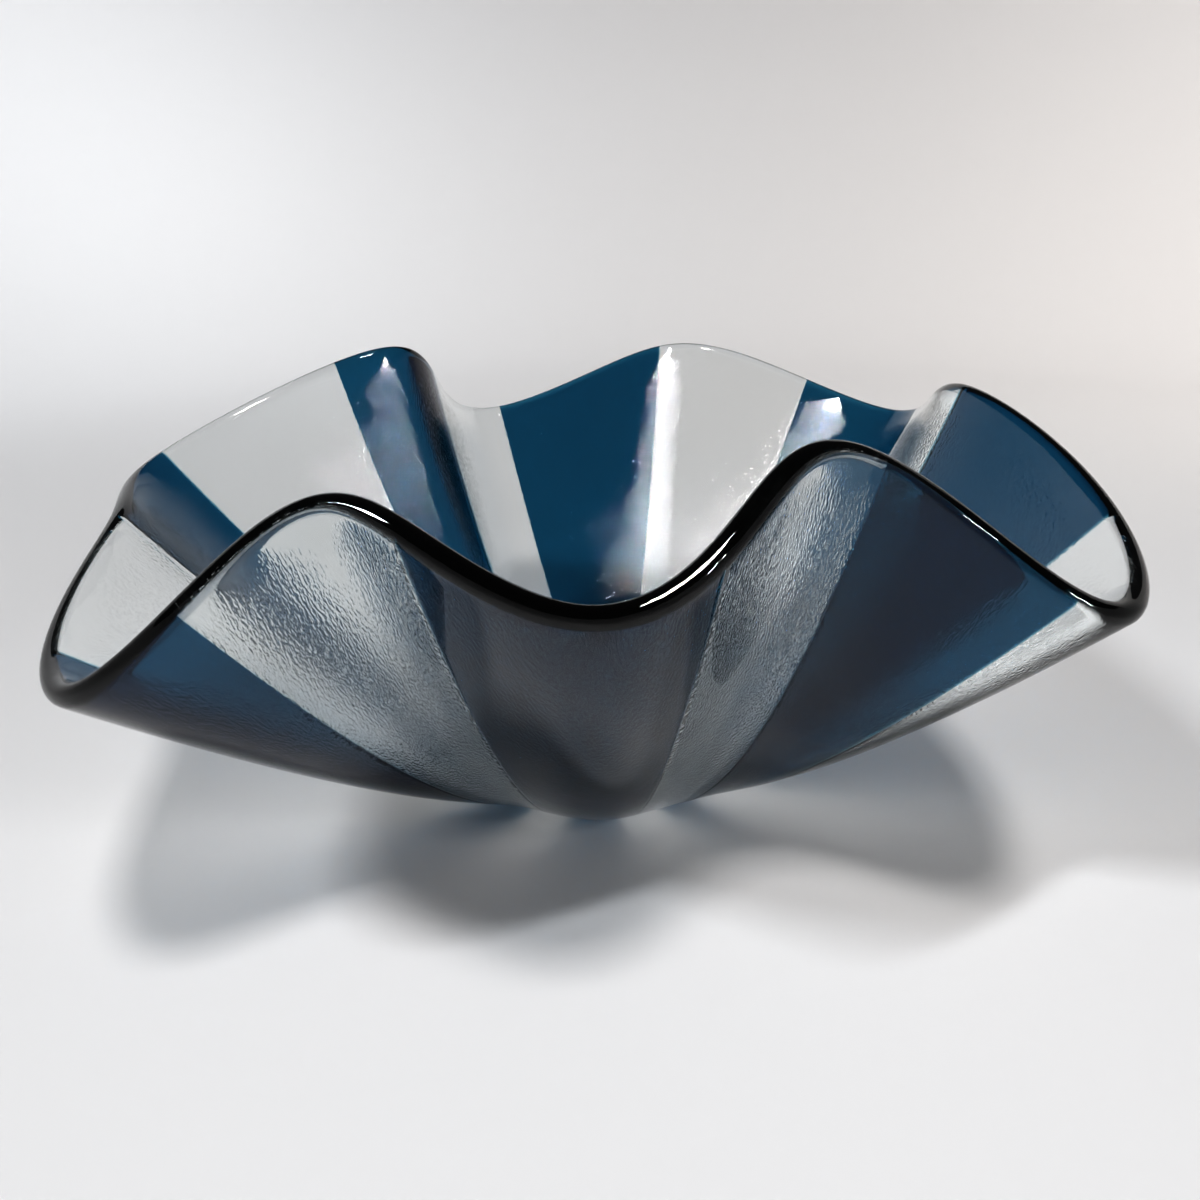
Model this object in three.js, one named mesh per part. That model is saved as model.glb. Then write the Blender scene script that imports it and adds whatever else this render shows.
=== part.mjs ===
// Art glass bowl: a flat two-layer disc of fused glass, draped hot over a small round post and
// turned over to stand on the flat that the post left.
//
// The upper layer is one clear disc. The lower layer is a ring of sixteen gores, blue and clear in
// turn, cut like slices of a pie and fused to the disc. As the disc sank over the post its edge was
// too long for the ring it had to fit in, so it fell into outward lobes and inward flutes.
//
// Millimetres, +Z up. The bowl stands on z = 0, and the middle of its outline is over the origin.
// A place on the glass is told by two numbers that it had on the flat disc: how far round it was,
// counted in gores from the middle of the front blue one, and how far out from the centre.

import * as THREE from "three";
import { mergeVertices } from "three/addons/utils/BufferGeometryUtils.js";

// ---- Driving dimensions ----

const goreCount = 16;
const discRadius = 190; // of the flat disc, to the middle of its rounded edge
const sheetThickness = 3; // of each of the two layers
const footRadius = 20; // of the flat that the bowl stands on
const tipRadius = 2; // where the gores' points stop, short of the centre
const layerGap = 0.1; // between the disc and the gores
const seamGap = 0.1; // between one gore and the next
const frontBearing = -96; // degrees, of the front gore's middle line on the foot

// How far the wall runs out level before it turns up, as a share of its length: a share that every
// part of it has, and one that grows as the wall gets steeper.
const levelShare = 0.12;
const steepShare = 0.24;

// Where the edge came to rest. Place is counted in gores, the bearing in degrees about the foot,
// and radius and height are to the middle of the rounded edge.
const rim = [
  { place: 0.0, bearing: -92, radius: 140, height: 114 }, // front lobe
  { place: 1.1, bearing: -69, radius: 121, height: 137 }, // front right flute
  { place: 1.9, bearing: -53, radius: 130, height: 121 }, // its far side
  { place: 2.9, bearing: -43, radius: 159, height: 100 }, // right lobe
  { place: 4.5, bearing: 7, radius: 121, height: 126 }, // right flute
  { place: 5.9, bearing: 41, radius: 161, height: 101 }, // back right lobe
  { place: 7.5, bearing: 78, radius: 135, height: 125 }, // back flute
  { place: 8.5, bearing: 106, radius: 162, height: 96 }, // back left lobe
  { place: 9.9, bearing: 130, radius: 114, height: 132 }, // back left flute
  { place: 11.5, bearing: 168, radius: 154, height: 106 }, // left lobe
  { place: 12.6, bearing: 193, radius: 144, height: 101 }, // shallow left flute
  { place: 14.0, bearing: 229, radius: 165, height: 93 }, // front left lobe
  { place: 15.3, bearing: 248, radius: 129, height: 130 }, // front left flute
];

// How finely the glass is drawn.
const stepsPerGore = 6;
const wallSteps = 9;
const edgeSteps = 3; // round each quarter of the rounded edge

// ---- The draped surface ----

const gore = 360 / goreCount; // degrees on the flat disc
const degrees = Math.PI / 180;

// The slopes at the knots of a smooth closed curve through a value at each place. Each slope is
// settled from its two neighbours over and over, until the curve's bend runs on through every knot.
function settledSlopes(places, values) {
  const count = places.length;
  const slopes = new Array(count).fill(0);
  for (let sweep = 0; sweep < 60; sweep += 1) {
    for (let here = 0; here < count; here += 1) {
      const before = (here + count - 1) % count;
      const after = (here + 1) % count;
      const stepIn = (places[here] - places[before] + goreCount) % goreCount;
      const stepOut = (places[after] - places[here] + goreCount) % goreCount;
      const riseIn = (values[here] - values[before]) / stepIn ** 2;
      const riseOut = (values[after] - values[here]) / stepOut ** 2;
      const pull = 3 * (riseIn + riseOut) - slopes[before] / stepIn - slopes[after] / stepOut;
      slopes[here] = pull / (2 / stepIn + 2 / stepOut);
    }
  }
  return slopes;
}

// A smooth closed curve through a value at each place round the disc, as a function of the place.
function closedCurve(places, values) {
  const slopes = settledSlopes(places, values);
  return (place) => {
    const turned = THREE.MathUtils.euclideanModulo(place - places[0], goreCount) + places[0];
    const from = places.findLastIndex((knot) => knot <= turned);
    const to = (from + 1) % places.length;
    const step = THREE.MathUtils.euclideanModulo(places[to] - places[from], goreCount);
    const along = (turned - places[from]) / step;
    const left = 1 - along;
    return (
      values[from] * left ** 2 * (1 + 2 * along) +
      values[to] * along ** 2 * (1 + 2 * left) +
      slopes[from] * step * along * left ** 2 -
      slopes[to] * step * along ** 2 * left
    );
  };
}

// How far the edge swung round from straight above its own place, and its radius and height.
const rimPlaces = rim.map((turn) => turn.place);
const rimSwing = closedCurve(rimPlaces, rim.map((turn) => turn.bearing - gore * turn.place));
const rimRadius = closedCurve(rimPlaces, rim.map((turn) => turn.radius));
const rimHeight = closedCurve(rimPlaces, rim.map((turn) => turn.height));

function outward(bearing) {
  return new THREE.Vector3(Math.cos(bearing * degrees), Math.sin(bearing * degrees), 0);
}

// A point midway through the glass. The foot is flat, and the wall is a curve that leaves it level,
// heads for the edge's own bearing and turns up to meet it.
function midGlass(place, out) {
  const footWay = outward(frontBearing + gore * place);
  if (out <= footRadius) {
    return footWay.multiplyScalar(out).setZ(sheetThickness);
  }
  const start = footWay.multiplyScalar(footRadius).setZ(sheetThickness);
  const rimWay = outward(rimSwing(place) + gore * place);
  const end = rimWay.clone().multiplyScalar(rimRadius(place)).setZ(rimHeight(place));
  const steepness = (end.z - start.z) / end.distanceTo(start);
  const wallLength = discRadius - footRadius;
  const level = (levelShare + steepShare * steepness) * wallLength;
  const turn = start.clone().addScaledVector(rimWay, level);
  const curve = new THREE.QuadraticBezierCurve3(start, turn, end);
  return curve.getPoint((out - footRadius) / wallLength);
}

// The frame of the glass at a place: the way out to the edge, and the way up through its thickness.
function glassFrame(place, out) {
  const tiny = 0.01;
  const inner = Math.max(out - tiny, footRadius);
  const wayOut = midGlass(place, inner + tiny).sub(midGlass(place, inner)).normalize();
  const wayRound = midGlass(place + tiny, out).sub(midGlass(place - tiny, out));
  const up = wayOut.clone().cross(wayRound).normalize();
  return { wayOut, up };
}

// ---- Sections of the two layers ----

// A station is a step out along a layer: its distance out on the flat disc, how far past the middle
// of the rounded edge it is, and the heights of the layer's two faces from the middle of the glass.
function station(out, past, nearFace, farFace) {
  return { out, past, nearFace, farFace };
}

// The stations of a layer that lies from the middle of the glass to one of its faces.
function layerStations(firstOuts, side) {
  const near = (side * layerGap) / 2;
  const depth = side * sheetThickness - near;
  const stations = firstOuts.map((out) => station(out, 0, near, near + depth));
  for (let step = 0; step <= wallSteps; step += 1) {
    const out = footRadius + ((discRadius - footRadius) * step) / wallSteps;
    stations.push(station(out, 0, near, near + depth));
  }
  for (let step = 1; step <= edgeSteps; step += 1) {
    const angle = (Math.PI / 2) * (step / edgeSteps);
    const past = sheetThickness * Math.sin(angle);
    stations.push(station(discRadius, past, near, near + depth * Math.cos(angle)));
  }
  return stations;
}

function layerPoint(place, at, lift) {
  const { wayOut, up } = glassFrame(place, Math.max(at.out, tipRadius));
  return midGlass(place, at.out).addScaledVector(wayOut, at.past).addScaledVector(up, lift);
}

// ---- Closed meshes ----

// A closed geometry from quads that may have run down to a triangle or to nothing.
function closedGeometry(quads) {
  const corners = quads.flatMap(([a, b, c, d]) => [a, b, c, a, c, d]);
  const merged = mergeVertices(new THREE.BufferGeometry().setFromPoints(corners), 1e-4);
  const indices = Array.from(merged.index.array);
  const kept = [];
  for (let first = 0; first < indices.length; first += 3) {
    const [a, b, c] = indices.slice(first, first + 3);
    if (a !== b && b !== c && c !== a) {
      kept.push(a, b, c);
    }
  }
  merged.setIndex(kept);
  merged.computeVertexNormals();
  return merged;
}

// The quads between each line of points and the next. Lines that run outward, one after another
// round the bowl, give quads that face up, and turned ones face down. Both are split into triangles
// along the same diagonal, so that the two layers' faces match.
function strip(lines, turned = false) {
  const quads = [];
  for (let line = 0; line + 1 < lines.length; line += 1) {
    for (let point = 0; point + 1 < lines[line].length; point += 1) {
      const [a, b] = lines[line].slice(point, point + 2);
      const [d, c] = lines[line + 1].slice(point, point + 2);
      quads.push(turned ? [c, b, a, d] : [a, b, c, d]);
    }
  }
  return quads;
}

// The clear disc, the whole way round. Its lower face lies on the gores.
function discGeometry() {
  const stations = layerStations([0], 1);
  const lineCount = goreCount * stepsPerGore;
  const places = Array.from({ length: lineCount + 1 }, (_, line) => (line % lineCount) / stepsPerGore - 0.5);
  const upper = places.map((place) => stations.map((at) => layerPoint(place, at, at.farFace)));
  const lower = places.map((place) => stations.map((at) => layerPoint(place, at, at.nearFace)));
  return closedGeometry([...strip(upper), ...strip(lower, true)]);
}

// A side line of a gore, drawn in from the seam toward the next line by half the seam's gap.
function drawnIn(line, nextLine) {
  return line.map((point, index) => {
    const share = seamGap / 2 / point.distanceTo(nextLine[index]);
    return point.clone().lerp(nextLine[index], share);
  });
}

// One gore of the lower layer, from its point near the centre to the rounded edge.
function goreGeometry(middle) {
  const stations = layerStations([tipRadius], -1);
  const places = Array.from({ length: stepsPerGore + 1 }, (_, step) => middle - 0.5 + step / stepsPerGore);
  const linesOf = (face) => {
    const lines = places.map((place) => stations.map((at) => layerPoint(place, at, at[face])));
    const [first, second] = lines;
    const [lastButOne, last] = lines.slice(-2);
    return [drawnIn(first, second), ...lines.slice(1, -1), drawnIn(last, lastButOne)];
  };
  const upper = linesOf("nearFace");
  const lower = linesOf("farFace");
  const sides = [
    ...strip([lower[0], upper[0]]),
    ...strip([lower[stepsPerGore], upper[stepsPerGore]], true),
  ];
  const tip = strip([upper.map((line) => line[0]), lower.map((line) => line[0])]);
  return closedGeometry([...strip(upper), ...strip(lower, true), ...sides, ...tip]);
}

// ---- The bowl ----

function glass(colour) {
  return new THREE.MeshStandardMaterial({
    color: colour,
    roughness: 0.05,
    metalness: 0,
    transparent: true,
    opacity: 0.6,
  });
}

const blueGlass = glass(0x12455f);
const clearGlass = glass(0xd5dcdc);

function namedMesh(name, geometry, material) {
  const mesh = new THREE.Mesh(geometry, material);
  mesh.name = name;
  return mesh;
}

const bowl = new THREE.Group();
bowl.add(namedMesh("clear_base_disc", discGeometry(), clearGlass));
for (let place = 0; place < goreCount; place += 1) {
  const isBlue = place % 2 === 0;
  const number = Math.floor(place / 2) + 1;
  const name = `${isBlue ? "blue" : "clear"}_gore_${number}`;
  bowl.add(namedMesh(name, goreGeometry(place), isBlue ? blueGlass : clearGlass));
}

const outline = new THREE.Box3().setFromObject(bowl);
const centre = outline.getCenter(new THREE.Vector3());
bowl.position.set(-centre.x, -centre.y, 0);

export default bowl;
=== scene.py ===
"""Looks for the art glass bowl: fine glass pieces in place of the faceted CAD ones, a stage and a camera.

The bowl was a flat two-layer disc of fused glass before it was draped. A place on the glass is told by
two numbers from that flat disc: how far round it was, counted in gores from the middle of the front blue
one, and how far out from the centre, in metres.
"""

import math

import bmesh
import bpy
import numpy as np
from mathutils import Matrix, Vector


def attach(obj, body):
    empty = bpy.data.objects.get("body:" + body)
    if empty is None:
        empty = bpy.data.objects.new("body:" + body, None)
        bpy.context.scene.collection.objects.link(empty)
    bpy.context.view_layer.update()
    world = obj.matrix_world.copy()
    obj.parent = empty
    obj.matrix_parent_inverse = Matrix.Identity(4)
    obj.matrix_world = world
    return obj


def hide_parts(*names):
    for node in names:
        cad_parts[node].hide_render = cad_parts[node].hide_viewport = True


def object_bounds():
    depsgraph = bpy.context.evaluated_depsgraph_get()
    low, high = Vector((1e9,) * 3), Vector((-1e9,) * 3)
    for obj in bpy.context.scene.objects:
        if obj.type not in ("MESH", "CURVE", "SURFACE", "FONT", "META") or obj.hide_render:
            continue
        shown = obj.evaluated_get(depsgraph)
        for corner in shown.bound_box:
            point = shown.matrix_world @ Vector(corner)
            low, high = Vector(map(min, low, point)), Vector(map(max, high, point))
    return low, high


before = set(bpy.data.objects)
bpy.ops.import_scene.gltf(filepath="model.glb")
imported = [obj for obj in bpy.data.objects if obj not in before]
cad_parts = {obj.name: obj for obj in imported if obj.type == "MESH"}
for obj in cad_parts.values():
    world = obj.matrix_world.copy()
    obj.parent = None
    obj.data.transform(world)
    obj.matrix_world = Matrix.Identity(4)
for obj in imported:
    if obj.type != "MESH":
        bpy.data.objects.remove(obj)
cad_low, cad_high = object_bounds()

# ---- Driving dimensions, the same as the CAD part's ----

MM = 0.001  # metres
GORE_COUNT = 16
GORE = math.tau / GORE_COUNT  # of the turn, on the flat disc
DISC_RADIUS = 190 * MM  # of the flat disc, to the middle of its rounded edge
SHEET = 3 * MM  # the thickness of each of the two layers
FOOT_RADIUS = 20 * MM
TIP_RADIUS = 2 * MM
FRONT_BEARING = -96  # degrees, of the front gore's middle line on the foot
LEVEL_SHARE = 0.12  # of the wall's length that runs out level before it turns up
STEEP_SHARE = 0.24  # more of it, as the wall gets steeper

# Where the edge came to rest: place, bearing in degrees about the foot, radius and height in millimetres.
RIM = [
    (0.0, -92, 140, 114),  # front lobe
    (1.1, -69, 121, 137),  # front right flute
    (1.9, -53, 130, 121),  # its far side
    (2.9, -43, 159, 100),  # right lobe
    (4.5, 7, 121, 126),  # right flute
    (5.9, 41, 161, 101),  # back right lobe
    (7.5, 78, 135, 125),  # back flute
    (8.5, 106, 162, 96),  # back left lobe
    (9.9, 130, 114, 132),  # back left flute
    (11.5, 168, 154, 106),  # left lobe
    (12.6, 193, 144, 101),  # shallow left flute
    (14.0, 229, 165, 93),  # front left lobe
    (15.3, 248, 129, 130),  # front left flute
]

# ---- How finely the glass is drawn ----

STEPS_PER_GORE = 28
FOOT_STEPS = 7
WALL_STEPS = 84
EDGE_STEPS = 8  # round each quarter of the rounded edge
SHARP_ANGLE = math.radians(40)  # the shading breaks where faces meet at more than this
FLAT_REACH = 2 * (DISC_RADIUS + 2 * SHEET)  # the side of the square that the flat disc is mapped on
SEAM_GROOVE = 0.12 * MM  # how deep the outside dips at a seam
SEAM_WIDTH = 0.6 * MM  # how far from the seam, at the edge, the dip fades
RIPPLE_STOP = 8 * MM  # how far inside the edge the ripple starts to run out
FUSED_GAP = 0.01 * MM  # between pieces that are really fused, so that each stays a closed body
TINY_STEP = 1e-5  # in metres out or in gores round, to find the slope of the glass
WELD_REACH = 0.001 * MM  # points nearer to each other than this are one


# ---- The draped surface ----


def settled_slopes(places, values):
    """The slopes at the knots of the smoothest closed curve through a value at each place."""
    count = len(places)
    steps = np.diff(places, append=places[0] + GORE_COUNT)
    rises = np.diff(values, append=values[0]) / steps**2
    system = np.zeros((count, count))
    for here in range(count):
        before, after = here - 1, (here + 1) % count
        system[here, before] = 1 / steps[before]
        system[here, after] = 1 / steps[here]
        system[here, here] = 2 / steps[before] + 2 / steps[here]
    return np.linalg.solve(system, 3 * (rises + np.roll(rises, 1)))


def closed_curve(places, values):
    """A smooth closed curve through a value at each place round the disc, as a function of the place."""
    slopes = settled_slopes(places, values)
    steps = np.diff(places, append=places[0] + GORE_COUNT)

    def curve(place):
        turned = np.mod(np.asarray(place) - places[0], GORE_COUNT) + places[0]
        start = np.searchsorted(places, turned, side="right") - 1
        end = (start + 1) % len(places)
        along = (turned - places[start]) / steps[start]
        left = 1 - along
        return (
            values[start] * left**2 * (1 + 2 * along)
            + values[end] * along**2 * (1 + 2 * left)
            + slopes[start] * steps[start] * along * left**2
            - slopes[end] * steps[start] * along**2 * left
        )

    return curve


rim_places, rim_bearings, rim_radii, rim_heights = np.array(RIM).T
rim_swing = closed_curve(rim_places, np.radians(rim_bearings) - GORE * rim_places)
rim_radius = closed_curve(rim_places, rim_radii * MM)
rim_height = closed_curve(rim_places, rim_heights * MM)


def outward(bearing):
    """The level way out on each bearing."""
    return np.stack([np.cos(bearing), np.sin(bearing), np.zeros_like(bearing)], axis=-1)


def mid_glass(place, out):
    """Points midway through the glass: a flat foot, then a wall that leaves it level and turns up."""
    place, out = np.broadcast_arrays(place, out)
    foot_way = outward(math.radians(FRONT_BEARING) + GORE * place)
    floor_level = np.array([0, 0, SHEET])
    start = foot_way * FOOT_RADIUS + floor_level
    rim_way = outward(rim_swing(place) + GORE * place)
    end = rim_way * rim_radius(place)[..., None]
    end[..., 2] = rim_height(place)
    steepness = (end[..., 2] - SHEET) / np.linalg.norm(end - start, axis=-1)
    wall_length = DISC_RADIUS - FOOT_RADIUS
    level = (LEVEL_SHARE + STEEP_SHARE * steepness) * wall_length
    turn = start + rim_way * level[..., None]
    along = (np.maximum(out - FOOT_RADIUS, 0) / wall_length)[..., None]
    wall = start * (1 - along) ** 2 + turn * 2 * along * (1 - along) + end * along**2
    flat = foot_way * out[..., None] + floor_level
    return np.where((out <= FOOT_RADIUS)[..., None], flat, wall)


def unit(vectors):
    """The vectors, each drawn out or in to a length of one."""
    return vectors / np.linalg.norm(vectors, axis=-1, keepdims=True)


def glass_frame(place, out):
    """The way out along the glass to the edge, and the way up through its thickness to the inside."""
    inner = np.maximum(out - TINY_STEP, FOOT_RADIUS)
    way_out = unit(mid_glass(place, inner + TINY_STEP) - mid_glass(place, inner))
    way_round = mid_glass(place + TINY_STEP, out) - mid_glass(place - TINY_STEP, out)
    return way_out, unit(np.cross(way_out, way_round))


# ---- The two layers' closed meshes ----


def layer_stations(first_out):
    """Steps out along a layer: distance out, how far past the edge's middle, and the share of thickness."""
    foot = np.linspace(first_out, FOOT_RADIUS, FOOT_STEPS + 1)[:-1]
    outs = np.concatenate([foot, np.linspace(FOOT_RADIUS, DISC_RADIUS, WALL_STEPS + 1)])
    angles = np.linspace(0, math.pi / 2, EDGE_STEPS + 1)[1:]
    outs_all = np.concatenate([outs, np.full(EDGE_STEPS, DISC_RADIUS)])
    past = np.concatenate([np.zeros_like(outs), SHEET * np.sin(angles)])
    share = np.concatenate([np.ones_like(outs), np.cos(angles)])
    return outs_all, past, share


def layer_sheet(places, stations, lifts):
    """A sheet of points, one line of them for each place, lifted off the middle of the glass.

    The lifts are one for each station, or one for each place and station.
    """
    outs, past, _ = stations
    place, out = np.meshgrid(places, outs, indexing="ij")
    way_out, up = glass_frame(place, np.maximum(out, TIP_RADIUS))
    return mid_glass(place, out) + way_out * past[:, None] + up * lifts[..., None]


def flat_places(places, stations):
    """Where each point of a sheet was on the flat disc, as shares of a square round the disc."""
    outs, past, _ = stations
    bearing, out = np.meshgrid(GORE * np.asarray(places), outs + past, indexing="ij")
    return 0.5 + np.stack([out * np.cos(bearing), out * np.sin(bearing)], axis=-1) / FLAT_REACH


def grid_faces(lines, points, first, turned):
    """The quads of a grid of points, numbered line by line from the first."""
    line, point = np.meshgrid(np.arange(lines - 1), np.arange(points - 1), indexing="ij")
    a = first + line * points + point
    quads = np.stack([a, a + 1, a + points + 1, a + points], axis=-1).reshape(-1, 4)
    return quads[:, ::-1] if turned else quads


def closed_mesh(name, sheets, flats, skins):
    """One closed mesh from sheets of points. Each sheet has its turn and whether it is bare skin.

    The face attribute bare_skin is 1 where the glass meets air and 0 where it is fused to the next piece.
    """
    first = 0
    points, uvs, faces, bare = [], [], [], []
    for sheet, flat, (turned, is_bare) in zip(sheets, flats, skins):
        lines, along = sheet.shape[:2]
        quads = grid_faces(lines, along, first, turned)
        points.append(sheet.reshape(-1, 3))
        uvs.append(flat.reshape(-1, 2))
        faces.append(quads)
        bare.append(np.full(len(quads), float(is_bare)))
        first += lines * along
    points, uvs, faces, bare = (np.concatenate(part) for part in (points, uvs, faces, bare))

    mesh = bpy.data.meshes.new(name)
    mesh.from_pydata(points.tolist(), [], faces.tolist())
    layer = mesh.uv_layers.new(name="flat_disc")
    layer.uv.foreach_set("vector", uvs[faces.reshape(-1)].astype(np.float32).reshape(-1))
    attribute = mesh.attributes.new("bare_skin", "FLOAT", "FACE")
    attribute.data.foreach_set("value", bare.astype(np.float32))
    piece = bpy.data.objects.new(name, mesh)
    bpy.context.scene.collection.objects.link(piece)
    weld(mesh)
    return piece


def weld(mesh):
    """Joins points that share a place, drops the faces that this closes up, and shades the rest smooth."""
    built = bmesh.new()
    built.from_mesh(mesh)
    bmesh.ops.remove_doubles(built, verts=built.verts, dist=WELD_REACH)
    bmesh.ops.dissolve_degenerate(built, edges=built.edges, dist=WELD_REACH)
    bmesh.ops.recalc_face_normals(built, faces=built.faces)
    built.to_mesh(mesh)
    built.free()
    mesh.shade_smooth()
    mesh.set_sharp_from_angle(angle=SHARP_ANGLE)


def disc_piece():
    """The clear disc, the whole way round. Its lower face is fused to the gores."""
    places = np.arange(GORE_COUNT * STEPS_PER_GORE + 1) / STEPS_PER_GORE - 0.5
    stations = layer_stations(0)
    share = stations[2]
    upper = layer_sheet(places, stations, FUSED_GAP / 2 + (SHEET - FUSED_GAP / 2) * share)
    lower = layer_sheet(places, stations, np.full_like(share, FUSED_GAP / 2))
    flat = flat_places(places, stations)
    return closed_mesh("inner_disc", [upper, lower], [flat, flat], [(False, True), (True, False)])


def gore_piece(name, middle):
    """One gore of the outer layer, with its upper face and its sides fused to the other pieces.

    Its lines lie closest by the seams, where the fire has drawn its outside in to a shallow groove.
    """
    inset = FUSED_GAP / 2 / (GORE * DISC_RADIUS)
    across = np.sin(np.linspace(-math.pi / 2, math.pi / 2, STEPS_PER_GORE + 1))
    places = middle + (0.5 - inset) * across
    to_seam = (0.5 - np.abs(places - middle)) * GORE * DISC_RADIUS
    groove = SEAM_GROOVE * np.exp(-((to_seam / SEAM_WIDTH) ** 2))
    stations = layer_stations(TIP_RADIUS)
    share = stations[2]
    thickness = (SHEET - FUSED_GAP / 2 - groove)[:, None] * share
    upper = layer_sheet(places, stations, np.full_like(share, -FUSED_GAP / 2))
    lower = layer_sheet(places, stations, -FUSED_GAP / 2 - thickness)
    flat = flat_places(places, stations)
    sides = [np.stack([lower[end], upper[end]]) for end in (0, -1)]
    side_flats = [np.stack([flat[end], flat[end]]) for end in (0, -1)]
    tip = np.stack([upper[:, 0], lower[:, 0]])
    tip_flat = np.stack([flat[:, 0], flat[:, 0]])
    return closed_mesh(
        name,
        [upper, lower, *sides, tip],
        [flat, flat, *side_flats, tip_flat],
        [(False, False), (True, True), (False, False), (True, False), (False, False)],
    )


# ---- Materials ----

FUSED_BEND = 1.0  # index of refraction at a fused face, where light goes straight on
BARE_BEND = 0.52  # what is added to it at the bare skin, for 1.52 in all
GLASS_TINT = (0.985, 0.99, 0.99)
SPECK_COLOUR = (0.03, 0.03, 0.04)

# The colour that comes through the body of the glass, and how strongly the rest is absorbed.
CLEAR_BODY = ((0.55, 0.72, 0.70), 8.0)
BLUE_BODY = ((0.10, 0.57, 0.70), 1500.0)

# Scales are of the square that the flat disc is mapped on. Depths are of the bump, before its strength.
RIPPLE_SCALE, RIPPLE_DEPTH, RIPPLE_STRENGTH = 330, 1.0 * MM, 0.2
SWELL_SCALE, SWELL_DEPTH, SWELL_STRENGTH = 22, 1.2 * MM, 0.05
SKIN_SCALE, SKIN_DEPTH, SKIN_STRENGTH = 16, 1.0 * MM, 0.15
SPECK_SCALE, SPECK_SIZE, SPECK_RARITY = 60, 0.045, 0.95


class Nodes:
    """Adds nodes to a material's tree and links them."""

    def __init__(self, name):
        self.material = bpy.data.materials.new(name)
        self.material.use_nodes = True
        self.tree = self.material.node_tree
        self.shader = self.tree.nodes["Principled BSDF"]
        self.output = self.tree.nodes["Material Output"]

    def add(self, kind, **settings):
        node = self.tree.nodes.new(kind)
        for key, value in settings.items():
            setattr(node, key, value)
        return node

    def link(self, start, end):
        self.tree.links.new(start, end)


def noise(nodes, flat, scale, stretch=(1, 1, 1), warp=0.0):
    """Noise over the flat disc, drawn out along it where stretch isn't even."""
    mapping = nodes.add("ShaderNodeMapping")
    mapping.inputs["Scale"].default_value = stretch
    nodes.link(flat, mapping.inputs["Vector"])
    texture = nodes.add("ShaderNodeTexNoise")
    texture.inputs["Scale"].default_value = scale
    texture.inputs["Detail"].default_value = 1.0
    texture.inputs["Distortion"].default_value = warp
    nodes.link(mapping.outputs["Vector"], texture.inputs["Vector"])
    return texture.outputs["Fac"]


def bump(nodes, height, depth, strength, normal=None):
    """A normal from a height, laid over another normal where one is given."""
    node = nodes.add("ShaderNodeBump")
    node.inputs["Strength"].default_value = strength
    node.inputs["Distance"].default_value = depth
    nodes.link(height, node.inputs["Height"])
    if normal is not None:
        nodes.link(normal, node.inputs["Normal"])
    return node.outputs["Normal"]


def glass(name, body, roughness):
    """Clear or coloured glass that bends light only at its bare skin, and not where it is fused."""
    nodes = Nodes(name)
    shader = nodes.shader
    shader.inputs["Base Color"].default_value = (*GLASS_TINT, 1)
    shader.inputs["Roughness"].default_value = roughness
    shader.inputs["Transmission Weight"].default_value = 1.0

    skin = nodes.add("ShaderNodeAttribute", attribute_name="bare_skin")
    bend = nodes.add("ShaderNodeMath", operation="MULTIPLY_ADD")
    bend.inputs[1].default_value = BARE_BEND
    bend.inputs[2].default_value = FUSED_BEND
    nodes.link(skin.outputs["Fac"], bend.inputs[0])
    nodes.link(bend.outputs[0], shader.inputs["IOR"])

    passed, density = body
    volume = nodes.add("ShaderNodeVolumeAbsorption")
    volume.inputs["Color"].default_value = (*passed, 1)
    volume.inputs["Density"].default_value = density
    nodes.link(volume.outputs[0], nodes.output.inputs["Volume"])
    return nodes


def flat_disc(nodes):
    """Where each point of the glass was on the flat disc."""
    return nodes.add("ShaderNodeUVMap", uv_map="flat_disc").outputs["UV"]


def specks(nodes, flat):
    """Near-white glass with a rare dark speck in it, a fraction of a millimetre across."""
    cells = nodes.add("ShaderNodeTexVoronoi")
    cells.inputs["Scale"].default_value = SPECK_SCALE
    nodes.link(flat, cells.inputs["Vector"])
    grain = nodes.add("ShaderNodeMath", operation="LESS_THAN")
    grain.inputs[1].default_value = SPECK_SIZE
    nodes.link(cells.outputs["Distance"], grain.inputs[0])
    rare = nodes.add("ShaderNodeMath", operation="GREATER_THAN")
    rare.inputs[1].default_value = SPECK_RARITY
    nodes.link(cells.outputs["Color"], rare.inputs[0])
    speck = nodes.add("ShaderNodeMath", operation="MULTIPLY")
    nodes.link(grain.outputs[0], speck.inputs[0])
    nodes.link(rare.outputs[0], speck.inputs[1])
    colour = nodes.add("ShaderNodeMix", data_type="RGBA")
    colour.inputs["A"].default_value = (*GLASS_TINT, 1)
    colour.inputs["B"].default_value = (*SPECK_COLOUR, 1)
    nodes.link(speck.outputs[0], colour.inputs["Factor"])
    return colour.outputs["Result"]


def inside_edge(nodes, flat, height):
    """A height that runs out to nothing just inside the rounded edge."""
    distance = nodes.add("ShaderNodeVectorMath", operation="DISTANCE")
    distance.inputs[1].default_value = (0.5, 0.5, 0)
    nodes.link(flat, distance.inputs[0])
    fade = nodes.add("ShaderNodeMapRange", interpolation_type="SMOOTHSTEP")
    fade.inputs["From Min"].default_value = (DISC_RADIUS - RIPPLE_STOP) / FLAT_REACH
    fade.inputs["From Max"].default_value = DISC_RADIUS / FLAT_REACH
    fade.inputs["To Min"].default_value = 1
    fade.inputs["To Max"].default_value = 0
    nodes.link(distance.outputs["Value"], fade.inputs["Value"])
    faded = nodes.add("ShaderNodeMath", operation="MULTIPLY")
    nodes.link(height, faded.inputs[0])
    nodes.link(fade.outputs["Result"], faded.inputs[1])
    return faded.outputs[0]


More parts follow.
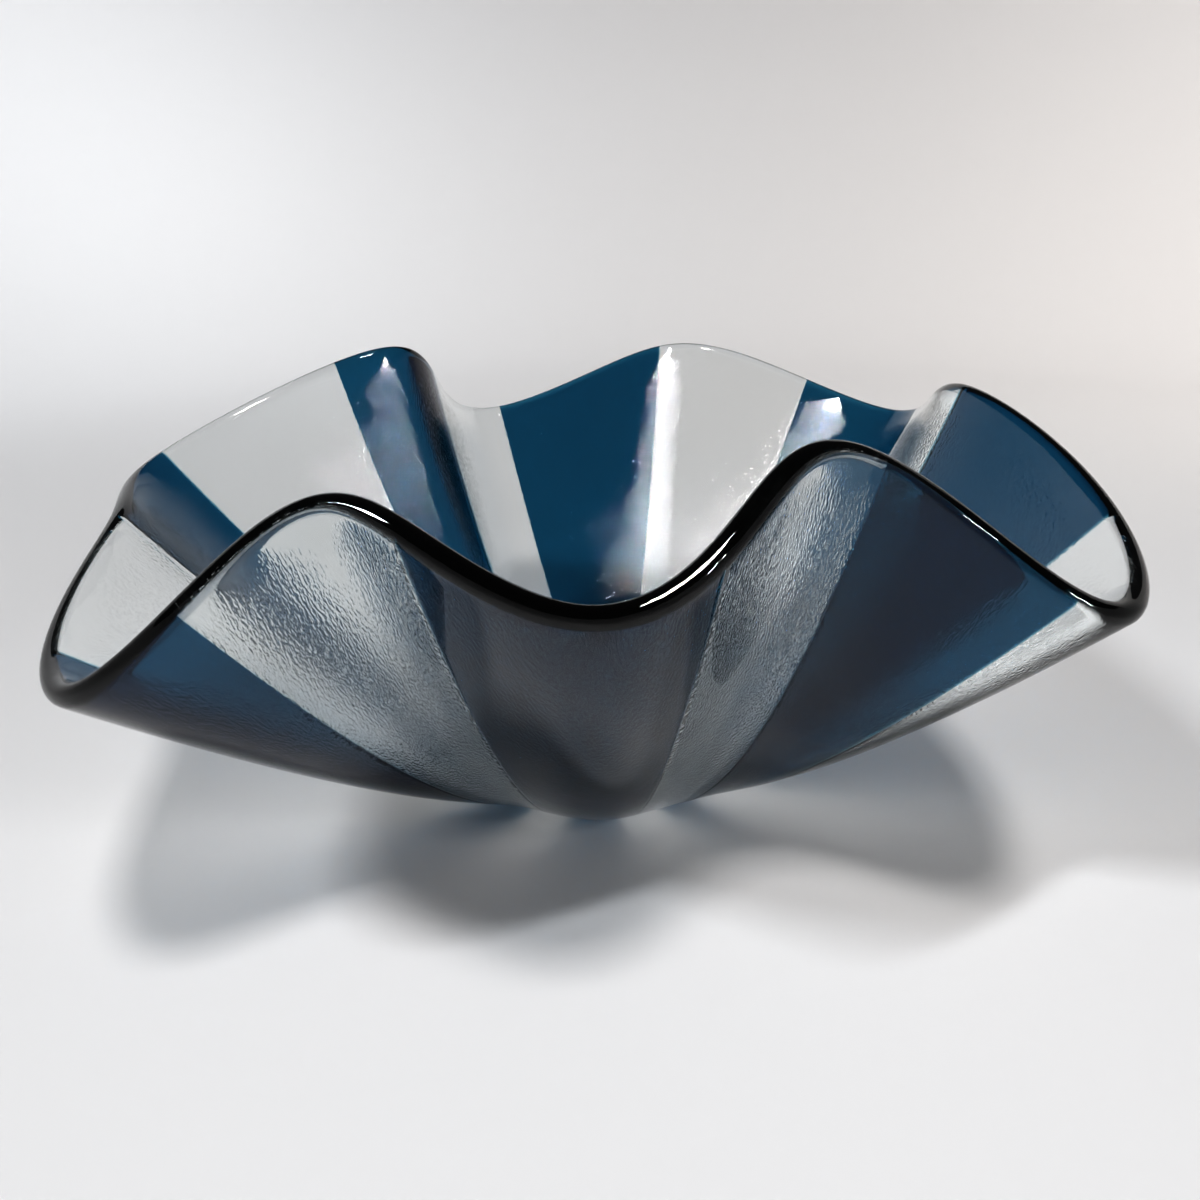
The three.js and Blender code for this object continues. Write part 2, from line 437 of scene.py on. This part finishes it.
def rippled_glass():
    """The inner disc: clear glass with a fine ripple over its inside face, melted away near the edge."""
    nodes = glass("rippled_clear_glass", CLEAR_BODY, 0.02)
    flat = flat_disc(nodes)
    ripple = noise(nodes, flat, RIPPLE_SCALE, stretch=(1, 1.5, 1), warp=0.2)
    swell = noise(nodes, flat, SWELL_SCALE)
    normal = bump(nodes, swell, SWELL_DEPTH, SWELL_STRENGTH)
    normal = bump(nodes, inside_edge(nodes, flat, ripple), RIPPLE_DEPTH, RIPPLE_STRENGTH, normal)
    nodes.link(normal, nodes.shader.inputs["Normal"])
    nodes.link(specks(nodes, flat), nodes.shader.inputs["Base Color"])
    return nodes.material


def polished_glass(name, body):
    """A gore: fire-polished glass with only a slow unevenness on its outside."""
    nodes = glass(name, body, 0.01)
    flat = flat_disc(nodes)
    swell = noise(nodes, flat, SKIN_SCALE)
    nodes.link(bump(nodes, swell, SKIN_DEPTH, SKIN_STRENGTH), nodes.shader.inputs["Normal"])
    return nodes.material


# ---- The bowl ----


def build_bowl():
    """Makes the seventeen glass pieces about the foot's centre, and moves them to where the CAD stands."""
    clear = polished_glass("clear_glass", CLEAR_BODY)
    blue = polished_glass("blue_glass", BLUE_BODY)
    disc = disc_piece()
    disc.data.materials.append(rippled_glass())
    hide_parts("clear_base_disc")
    bowl = [disc]
    for place in range(GORE_COUNT):
        is_blue = place % 2 == 0
        colour, number = ("blue" if is_blue else "clear"), place // 2 + 1
        piece = gore_piece(f"{colour}_slice_{number}", place)
        piece.data.materials.append(blue if is_blue else clear)
        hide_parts(f"{colour}_gore_{number}")
        bowl.append(piece)

    corners = np.array([point.co for piece in bowl for point in piece.data.vertices])
    low, high = Vector(corners.min(0)), Vector(corners.max(0))
    foot = (cad_low + cad_high - low - high) / 2
    foot.z = 0
    for piece in bowl:
        piece.data.transform(Matrix.Translation(foot))
        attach(piece, "root")
    return foot


# ---- Stage, light and camera ----

FLOOR_RADIUS = 0.9  # of the level part of the sweep, in metres
SWEEP_RADIUS = 0.5  # of the curve from the floor to the wall
WALL_HEIGHT = 0.8
SWEEP_TURNS, SWEEP_STEPS = 96, 24  # faces round the sweep, and points up its curve
PAPER = (0.80, 0.80, 0.81)
ROOM_COLOUR, ROOM_STRENGTH = (0.95, 0.97, 1.0), 0.06
LAMP_SPREAD = math.radians(100)
CONTRAST = 0.75  # the view's gamma: below 1 is more contrast
LIGHT_BOUNCES = 32  # enough for light to cross every wall of the bowl

CAMERA_PLACE = Vector((0, -310.6, 185.7)) * MM  # from the foot
CAMERA_DOWN = math.radians(21.7)
CAMERA_TILT = math.radians(-1.2)
CAMERA_LENS, CAMERA_SENSOR = 29.8, 36  # millimetres


def sweep_profile():
    """Radius and height along a round sweep: level floor, quarter round, then an upright wall."""
    angles = np.linspace(0, math.pi / 2, SWEEP_STEPS)
    curve = [(FLOOR_RADIUS + SWEEP_RADIUS * math.sin(a), SWEEP_RADIUS * (1 - math.cos(a))) for a in angles]
    return [(0.0, 0.0), (FLOOR_RADIUS / 2, 0.0), *curve, (FLOOR_RADIUS + SWEEP_RADIUS, WALL_HEIGHT)]


def build_stage(foot):
    """A pale paper sweep all the way round, so that every side of the bowl has the same plain backdrop."""
    points, faces = [], []
    profile = sweep_profile()
    for turn in range(SWEEP_TURNS):
        bearing = math.tau * turn / SWEEP_TURNS
        for radius, height in profile:
            points.append((foot.x + radius * math.cos(bearing), foot.y + radius * math.sin(bearing), height))
    for turn in range(SWEEP_TURNS):
        after = (turn + 1) % SWEEP_TURNS
        for step in range(len(profile) - 1):
            a = turn * len(profile) + step
            b = after * len(profile) + step
            faces.append((a, a + 1, b + 1, b))
    mesh = bpy.data.meshes.new("paper_sweep")
    mesh.from_pydata(points, [], faces)
    mesh.shade_smooth()
    sweep = bpy.data.objects.new("paper_sweep", mesh)
    bpy.context.scene.collection.objects.link(sweep)

    nodes = Nodes("pale_paper")
    nodes.shader.inputs["Base Color"].default_value = (*PAPER, 1)
    nodes.shader.inputs["Roughness"].default_value = 0.6
    nodes.shader.inputs["Specular IOR Level"].default_value = 0.3
    mesh.materials.append(nodes.material)


def area_light(name, target, way, distance, size, watts, colour):
    """A soft light with a grid that keeps it on its target, which it faces from a distance that way."""
    light = bpy.data.lights.new(name, "AREA")
    light.shape = "RECTANGLE"
    light.size, light.size_y = size
    light.energy = watts
    light.spread = LAMP_SPREAD
    light.color = colour
    holder = bpy.data.objects.new(name, light)
    holder.location = target + way.normalized() * distance
    holder.rotation_mode = "QUATERNION"
    holder.rotation_quaternion = way.to_track_quat("Z", "Y")
    holder.visible_camera = False
    bpy.context.scene.collection.objects.link(holder)


def build_light(foot):
    """A dim room, three lamps on the bowl and two that wash the paper behind it."""
    scene = bpy.context.scene
    world = bpy.data.worlds.new("soft_room")
    world.use_nodes = True
    background = world.node_tree.nodes["Background"]
    background.inputs["Color"].default_value = (*ROOM_COLOUR, 1)
    background.inputs["Strength"].default_value = ROOM_STRENGTH
    scene.world = world
    scene.view_settings.view_transform = "Standard"
    scene.view_settings.gamma = CONTRAST
    middle = foot + Vector((0, 0, cad_high.z / 2))
    area_light("lamp_right", middle, Vector((0.1, -0.42, 1)), 2.0, (0.3, 0.3), 6.2, (1, 0.97, 0.94))
    area_light("lamp_left", middle, Vector((-0.7, -0.48, 1)), 2.0, (0.08, 0.35), 5.2, (0.95, 0.98, 1))
    area_light("strip_right", middle, Vector((0.58, -0.65, 0.46)), 1.2, (0.04, 0.25), 1.0, (1, 1, 1))
    left_wall, right_wall = foot + Vector((-0.7, 1.2, 0.35)), foot + Vector((0.75, 1.0, 0.15))
    area_light("wash_left", left_wall, Vector((0, -0.6, 1)), 1.0, (0.5, 0.5), 2.7, (0.97, 0.99, 1))
    area_light("wash_right", right_wall, Vector((0, -0.9, 0.8)), 1.2, (0.5, 0.5), 2.6, (1, 0.93, 0.86))


def build_camera(foot):
    """A camera close in front of the bowl, looking down into it, with a slight tilt to one side."""
    camera = bpy.data.cameras.new("camera")
    camera.lens = CAMERA_LENS
    camera.sensor_width = CAMERA_SENSOR
    camera.clip_start = 0.01
    holder = bpy.data.objects.new("camera", camera)
    bpy.context.scene.collection.objects.link(holder)
    turn = Matrix.Rotation(math.pi / 2 - CAMERA_DOWN, 4, "X") @ Matrix.Rotation(CAMERA_TILT, 4, "Z")
    holder.matrix_world = Matrix.Translation(foot + CAMERA_PLACE) @ turn
    bpy.context.scene.camera = holder


def set_light_paths():
    cycles = bpy.context.scene.cycles
    cycles.max_bounces = LIGHT_BOUNCES
    cycles.transmission_bounces = LIGHT_BOUNCES


foot = build_bowl()
build_camera(foot)
build_stage(foot)
build_light(foot)
set_light_paths()
